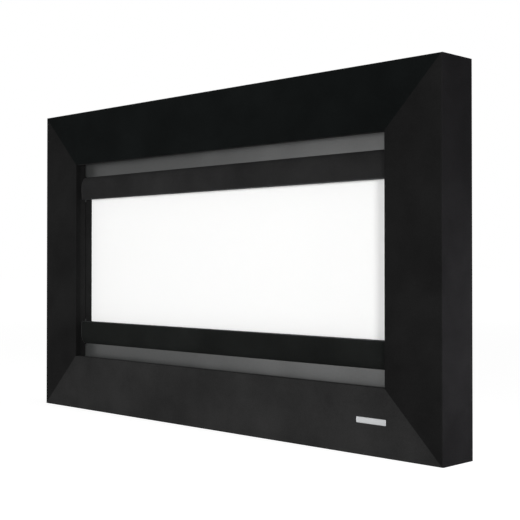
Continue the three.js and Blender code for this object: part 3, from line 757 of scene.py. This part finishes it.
def rectangle(inset, y, across=40, up=24):
    """Points round a rectangle that lies inset from the sheet's outer edge."""
    lo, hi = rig.box("screen_sheet")
    x0, x1, z0, z1 = lo[0] + inset, hi[0] - inset, lo[2] + inset, hi[2] - inset
    points = [(x0 + (x1 - x0) * i / across, y, z0) for i in range(across)]
    points += [(x1, y, z0 + (z1 - z0) * i / up) for i in range(up)]
    points += [(x1 - (x1 - x0) * i / across, y, z1) for i in range(across)]
    points += [(x0, y, z1 - (z1 - z0) * i / up) for i in range(up)]
    return points


def screen_sheet():
    """The white sheet's flat front, its round edges and the hem behind."""
    lo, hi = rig.box("screen_sheet")
    front, back, r = lo[1], hi[1], SHEET_ROUND
    path = [(inset, front) for inset in SHEET_INSETS]
    path += arc((r, front + r), r, -90, -180, 5)
    path += arc((r, back - r), r, 180, 90, 5)
    path += [(HEM, back)]
    vertices, faces = loft([rectangle(inset, y) for inset, y in path])
    count = len(rectangle(0, 0))
    faces.append(tuple(range(count))[::-1])
    sheet = new_mesh("screen_sheet_vinyl", vertices, [f[::-1] for f in faces], SCREEN_WHITE)
    thicken = sheet.modifiers.new("thickness", "SOLIDIFY")
    thicken.thickness = SHEET
    thicken.offset = -1
    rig.ride(sheet, "frame")
    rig.replaces(sheet, "screen_sheet")
    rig.slot(sheet, "screen_white")
    wrap = (back - front) + HEM
    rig.sheet(sheet, flat=(hi[0] - lo[0] + 2 * wrap, hi[2] - lo[2] + 2 * wrap), held="stretched",
             rests_on=[f"tension_tube_{side}" for side in ("left", "top", "right", "bottom")])


screen_sheet()


# Fasteners
SCREW_SIDES = 24
PAN = [(0.62, 0.97), (0.80, 0.88), (0.93, 0.66), (1.0, 0.30), (1.0, 0.0)]
RECESS_ARM = 0.55
RECESS_HALF = 0.14
RECESS_DEPTH = 0.6
RECESS_TAPER = 0.7
SCREW_TURN = 2.4
# Head radius, head height, shank radius and shank length
PLATE_SCREW = (0.0046, 0.0028, 0.0022, 0.008)
STRIP_SCREW = (0.0031, 0.0012, 0.0014, 0.006)


def cross_outline(arm, half):
    """Corners of a cross recess with a point between each pair, in step with the ring round it."""
    corners = [(arm, -half), (arm, half), (half, half), (half, arm), (-half, arm), (-half, half),
               (-arm, half), (-arm, -half), (-half, -half), (-half, -arm), (half, -arm), (half, -half)]
    points = []
    for a, b in zip(corners, corners[1:] + corners[:1]):
        points += [a, ((a[0] + b[0]) / 2, (a[1] + b[1]) / 2)]
    return points


def screw(head_radius, head_height, shank_radius, shank_length):
    """A pan-head screw with a cross recess, its head along +Z from the origin and its shank below."""
    turn = math.atan2(-RECESS_HALF, RECESS_ARM)
    angles = [turn + math.tau * i / SCREW_SIDES for i in range(SCREW_SIDES)]
    spokes = [(math.cos(a), math.sin(a)) for a in angles]
    cross = cross_outline(RECESS_ARM * head_radius, RECESS_HALF * head_radius)
    top = head_height * PAN[0][1]
    rings = [[(x * RECESS_TAPER, y * RECESS_TAPER, top - RECESS_DEPTH * head_height) for x, y in cross]]
    rings.append([(x, y, top) for x, y in cross])
    for r, h in PAN:
        rings.append([(x * r * head_radius, y * r * head_radius, h * head_height) for x, y in spokes])
    for z in (0.0, -shank_length):
        rings.append([(x * shank_radius, y * shank_radius, z) for x, y in spokes])
    vertices, faces = loft(rings)
    last = len(vertices) - SCREW_SIDES
    faces.append(tuple(range(SCREW_SIDES))[::-1])
    faces.append(tuple(range(last, last + SCREW_SIDES)))
    return vertices, [f[::-1] for f in faces]


def screws(name, places, heading, size):
    """One piece holding a screw at each place, with its head on the side of the heading."""
    vertices, faces = screw(*size)
    to_heading = Vector((0, 0, 1)).rotation_difference(Vector(heading)).to_matrix()
    all_vertices, all_faces = [], []
    for number, place in enumerate(places):
        turn = Matrix.Rotation(number * SCREW_TURN, 3, "Z")
        offset = len(all_vertices)
        all_vertices += [to_heading @ (turn @ Vector(v)) + Vector(place) for v in vertices]
        all_faces += [tuple(i + offset for i in f) for f in faces]
    piece = new_mesh(name, all_vertices, all_faces, ZINC, smooth_angle=35)
    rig.ride(piece, "frame")
    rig.slot(piece, "zinc_steel")


BRACKET_STEEL = 0.003
ROLLER_STEEL = 0.004
PLATE_EDGE_TO_SCREW = 0.0225
PLATE_SCREWS_ALONG = (0.0625, 0.0975, 0.1325)
BRACKET_SCREW_HALF = 0.015
FOOT_SCREW_IN = 0.018
FLAP_SCREW_IN = 0.015
ROLLER_SCREW_SHARES = (0.25, 0.75)
HANG_SCREW_IN = 0.011
HANG_SCREW_PITCH = 0.2
STRIP_SCREWS_ACROSS = 10
STRIP_SCREW_PITCH = 0.16
STRIP_SCREW_HEIGHTS = (-0.35, -0.125, 0.125, 0.35)


def spread(count, pitch):
    """Places along X, evenly spaced about the middle of the frame."""
    return [MID_X + (i - (count - 1) / 2) * pitch for i in range(count)]


def corner_plate_screws():
    for corner in ("top_left", "top_right", "bottom_right", "bottom_left"):
        lo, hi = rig.box(f"corner_plate_{corner}")
        x, inward = (lo[0], 1) if "left" in corner else (hi[0], -1)
        z, upward = (lo[2], 1) if "bottom" in corner else (hi[2], -1)
        spots = [(PLATE_EDGE_TO_SCREW, PLATE_EDGE_TO_SCREW)]
        spots += [(PLATE_EDGE_TO_SCREW, along) for along in PLATE_SCREWS_ALONG]
        spots += [(along, PLATE_EDGE_TO_SCREW) for along in PLATE_SCREWS_ALONG]
        places = [(x + inward * a, hi[1], z + upward * b) for a, b in spots]
        screws(f"corner_plate_screws_{corner}", places, (0, 1, 0), PLATE_SCREW)


def bracket_screws():
    for side, outward in (("left", -1), ("right", 1)):
        places = []
        for number in (1, 2, 3):
            lo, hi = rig.box(f"screen_bracket_{side}_{number}")
            middle = (lo[2] + hi[2]) / 2
            outer, inner = (lo[0], hi[0]) if outward < 0 else (hi[0], lo[0])
            foot_back = FLANGE_BACK + BRACKET_STEEL
            for dz in (-BRACKET_SCREW_HALF, BRACKET_SCREW_HALF):
                places.append((outer - outward * FOOT_SCREW_IN, foot_back, middle + dz))
                places.append((inner + outward * FLAP_SCREW_IN, hi[1], middle + dz))
        screws(f"screen_bracket_screws_{side}", places, (0, 1, 0), PLATE_SCREW)


def roller_bracket_screws():
    for mask, heading in (("top", -1), ("bottom", 1)):
        places = []
        for end in ("pin", "spring"):
            lo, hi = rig.box(f"{mask}_{end}_bracket")
            foot = hi[2] - ROLLER_STEEL if mask == "top" else lo[2] + ROLLER_STEEL
            inner, outer = (hi[0], lo[0]) if lo[0] < MID_X else (lo[0], hi[0])
            x = (inner + math.copysign(ROLLER_STEEL, outer) + outer) / 2
            for share in ROLLER_SCREW_SHARES:
                places.append((x, lo[1] + share * (hi[1] - lo[1]), foot))
        screws(f"{mask}_roller_bracket_screws", places, (0, 0, heading), PLATE_SCREW)


def hang_rail_screws():
    lo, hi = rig.box("hang_rail")
    count = int((hi[0] - lo[0]) / HANG_SCREW_PITCH)
    y = lo[1] + HANG_SCREW_IN
    places = [(x, y, hi[2] - BRACKET_STEEL) for x in spread(count, HANG_SCREW_PITCH)]
    screws("hang_rail_screws", places, (0, 0, -1), PLATE_SCREW)


def strip_screws():
    places = []
    for side in ("top", "bottom"):
        lo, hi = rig.box(f"retaining_strip_{side}")
        across = spread(STRIP_SCREWS_ACROSS, STRIP_SCREW_PITCH)
        places += [(x, hi[1], (lo[2] + hi[2]) / 2) for x in across]
    for side in ("left", "right"):
        lo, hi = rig.box(f"retaining_strip_{side}")
        places += [((lo[0] + hi[0]) / 2, hi[1], MID_Z + z) for z in STRIP_SCREW_HEIGHTS]
    screws("retaining_strip_screws", places, (0, 1, 0), STRIP_SCREW)


corner_plate_screws()
bracket_screws()
roller_bracket_screws()
hang_rail_screws()
strip_screws()

# A blank plate on the bottom rail's front
BLANK_MIDDLE = (0.7025, 0.101)
BLANK_HALF = (0.0545, 0.0088)
BLANK_ROUND = 0.0025
BLANK_THICKNESS = 0.0012
BLANK_BEVEL = 0.0003
BLANK_RIM = 0.0012
BLANK_FLAT_FROM = 0.004
BLANK_LEAST_ROUND = 0.0002


def blank_plate():
    """A small plate with bevelled edges and a raised rim round a bare face."""
    front = FRONT - SKIN_GAP - SKIN - BLANK_THICKNESS
    low = front + BLANK_BEVEL
    path = [(0.0, front + BLANK_THICKNESS), (0.0, low), (BLANK_BEVEL, front), (BLANK_RIM, front),
            (BLANK_RIM + BLANK_BEVEL, low), (BLANK_FLAT_FROM, low)]
    rings = []
    for inset, y in path:
        ring = []
        radius = max(BLANK_LEAST_ROUND, BLANK_ROUND - inset)
        for sx, sz, start in ((1, 1, 0), (-1, 1, 90), (-1, -1, 180), (1, -1, 270)):
            centre = (sx * (BLANK_HALF[0] - BLANK_ROUND), sz * (BLANK_HALF[1] - BLANK_ROUND))
            ring += arc(centre, radius, start, start + 90, 5)
        squeeze = min(1.0, (BLANK_HALF[1] - inset) / (BLANK_HALF[1] - BLANK_ROUND + radius))
        rings.append([(BLANK_MIDDLE[0] + x, y, BLANK_MIDDLE[1] + z * squeeze) for x, z in ring])
    vertices, faces = loft(rings)
    count = len(rings[0])
    faces.append(tuple(range(len(vertices) - count, len(vertices))))
    faces.append(tuple(range(count))[::-1])
    plate = new_mesh("blank_front_plate", vertices, faces, PLATE_ALUMINIUM, smooth_angle=30)
    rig.ride(plate, "frame")
    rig.slot(plate, "plain_aluminium")


blank_plate()


# CAD nodes that show as they are
def dress_nodes():
    for side in SIDES:
        dress(side, ANODISED)
    for side in ("left", "right"):
        dress(f"{side}_guide", VELVET["guide"], bevel=0.0004)
        for number in (1, 2, 3):
            dress(f"screen_bracket_{side}_{number}", ZINC, bevel=0.0006)
    for mask in ("top", "bottom"):
        dress(f"{mask}_mask_bar", ANODISED)
        dress(f"{mask}_roller_tube", ALUMINIUM, bevel=0.0003)
        dress(f"{mask}_torsion_spring", SPRING)
        dress(f"{mask}_spring_arbor", ZINC, bevel=0.0003)
        for end in ("spring", "pin"):
            dress(f"{mask}_{end}_plug", GREY_PLASTIC, bevel=0.0004)
            dress(f"{mask}_{end}_bracket", ZINC, bevel=0.0004)
        for side in ("left", "right"):
            dress(f"{mask}_shoe_{side}", BLACK_PLASTIC, bevel=0.0004)
            dress(f"{mask}_stop_{side}", BLACK_PLASTIC, bevel=0.0006)
        dress(f"{mask}_cloth_spline", BLACK_PLASTIC)
    for side in ("left", "top", "right", "bottom"):
        dress(f"tension_tube_{side}", ALUMINIUM)
        dress(f"retaining_strip_{side}", BLACK_PLASTIC, bevel=0.0004)
    for corner in ("top_left", "top_right", "bottom_right", "bottom_left"):
        dress(f"corner_plate_{corner}", ZINC, bevel=0.0005)
    dress("centre_brace", ALUMINIUM, bevel=0.0005)
    dress("hang_rail", ZINC, bevel=0.0005)


dress_nodes()


# Stage
FLOOR_HALF = 30.0
FLOOR_GAP = 0.0004
FLOOR_Z = FOOT - SKIN - SKIN_GAP - FLOOR_GAP
FLOOR_WHITE = 0.45
FLOOR_GLOW_NEAR = 0.87
FLOOR_GLOW_FAR = 0.94
FLOOR_NEAR = 1.5
FLOOR_FAR = 8.0
WORLD_LIGHT = 0.14


def add_seen_directly(tree):
    """A value that is 1 for camera, glossy and transmission rays, and 0 for the light itself."""
    path = tree.nodes.new("ShaderNodeLightPath")
    value = path.outputs["Is Camera Ray"]
    for ray in ("Is Glossy Ray", "Is Transmission Ray"):
        either = tree.nodes.new("ShaderNodeMath")
        either.operation = "MAXIMUM"
        tree.links.new(value, either.inputs[0])
        tree.links.new(path.outputs[ray], either.inputs[1])
        value = either.outputs[0]
    return value


def make_world():
    """Dim all round as a lamp, and white where it is seen."""
    world = bpy.data.worlds.new("studio")
    bpy.context.scene.world = world
    world.use_nodes = True
    tree = world.node_tree
    background = tree.nodes["Background"]
    background.inputs["Color"].default_value = (1, 1, 1, 1)
    strength = tree.nodes.new("ShaderNodeMapRange")
    strength.inputs["To Min"].default_value = WORLD_LIGHT
    strength.inputs["To Max"].default_value = 1.0
    tree.links.new(add_seen_directly(tree), strength.inputs["Value"])
    tree.links.new(strength.outputs["Result"], background.inputs["Strength"])


def make_floor():
    """A pale floor that is lifted to white where it is seen, and keeps the frame's shadow."""
    corners = [(-1, -1), (1, -1), (1, 1), (-1, 1)]
    corners = [(x * FLOOR_HALF, y * FLOOR_HALF, FLOOR_Z) for x, y in corners]
    material = bpy.data.materials.new("floor")
    material.use_nodes = True
    tree = material.node_tree
    surface = tree.nodes["Principled BSDF"]
    surface.inputs["Roughness"].default_value = 0.9
    surface.inputs["Specular IOR Level"].default_value = 0.0
    surface.inputs["Base Color"].default_value = (FLOOR_WHITE, FLOOR_WHITE, FLOOR_WHITE, 1)
    surface.inputs["Emission Color"].default_value = (1, 1, 1, 1)
    place = tree.nodes.new("ShaderNodeNewGeometry")
    distance = tree.nodes.new("ShaderNodeVectorMath")
    distance.operation = "LENGTH"
    tree.links.new(place.outputs["Position"], distance.inputs[0])
    lift = tree.nodes.new("ShaderNodeMapRange")
    lift.inputs["From Min"].default_value = FLOOR_NEAR
    lift.inputs["From Max"].default_value = FLOOR_FAR
    lift.inputs["To Min"].default_value = FLOOR_GLOW_NEAR
    lift.inputs["To Max"].default_value = FLOOR_GLOW_FAR
    tree.links.new(distance.outputs["Value"], lift.inputs["Value"])
    glow = tree.nodes.new("ShaderNodeMath")
    glow.operation = "MULTIPLY"
    tree.links.new(lift.outputs["Result"], glow.inputs[0])
    tree.links.new(add_seen_directly(tree), glow.inputs[1])
    tree.links.new(glow.outputs[0], surface.inputs["Emission Strength"])
    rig.stage(new_mesh("floor", corners, [(0, 1, 2, 3)], material))


def soft_lamp(name, place, size, power, shadow=True):
    """A soft box aimed at the frame. Its size is (width, height). A fill lamp throws no shadow."""
    data = bpy.data.lights.new(name, "AREA")
    data.shape = "RECTANGLE"
    data.size, data.size_y = size
    data.energy = power
    data.use_shadow = shadow
    lamp = bpy.data.objects.new(name, data)
    lamp.location = place
    lamp.rotation_euler = (Vector((MID_X, FRONT, MID_Z)) - place).to_track_quat("-Z", "Y").to_euler()
    bpy.context.scene.collection.objects.link(lamp)


def round_front(angle, distance, height):
    """A place at an angle to the right of straight ahead, seen from the frame."""
    a = math.radians(angle)
    return Vector((MID_X + distance * math.sin(a), FRONT - distance * math.cos(a), height))


make_world()
make_floor()
# Angles in degrees, sizes in metres and powers in watts
soft_lamp("front", round_front(16, 5.0, 0.72), (2.6, 0.95), 111)
soft_lamp("key_right", round_front(52, 12.0, 1.05), (1.7, 1.5), 578)
soft_lamp("gloss_left", round_front(-32, 4.2, 0.72), (1.0, 1.35), 38, shadow=False)
soft_lamp("gloss_low", round_front(-31, 2.33, 0.24), (0.8, 0.38), 4.0, shadow=False)
soft_lamp("rim_right", round_front(93, 1.7, 0.24), (0.7, 0.42), 6.9)
soft_lamp("overhead", Vector((MID_X, BACK + 0.3, 4.0)), (1.5, 1.5), 16)

visual_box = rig.bounds()
with open(SIZE_FILE, "w") as out:
    json.dump({"cad": [list(c) for c in cad_box], "visual": [list(c) for c in visual_box]}, out)
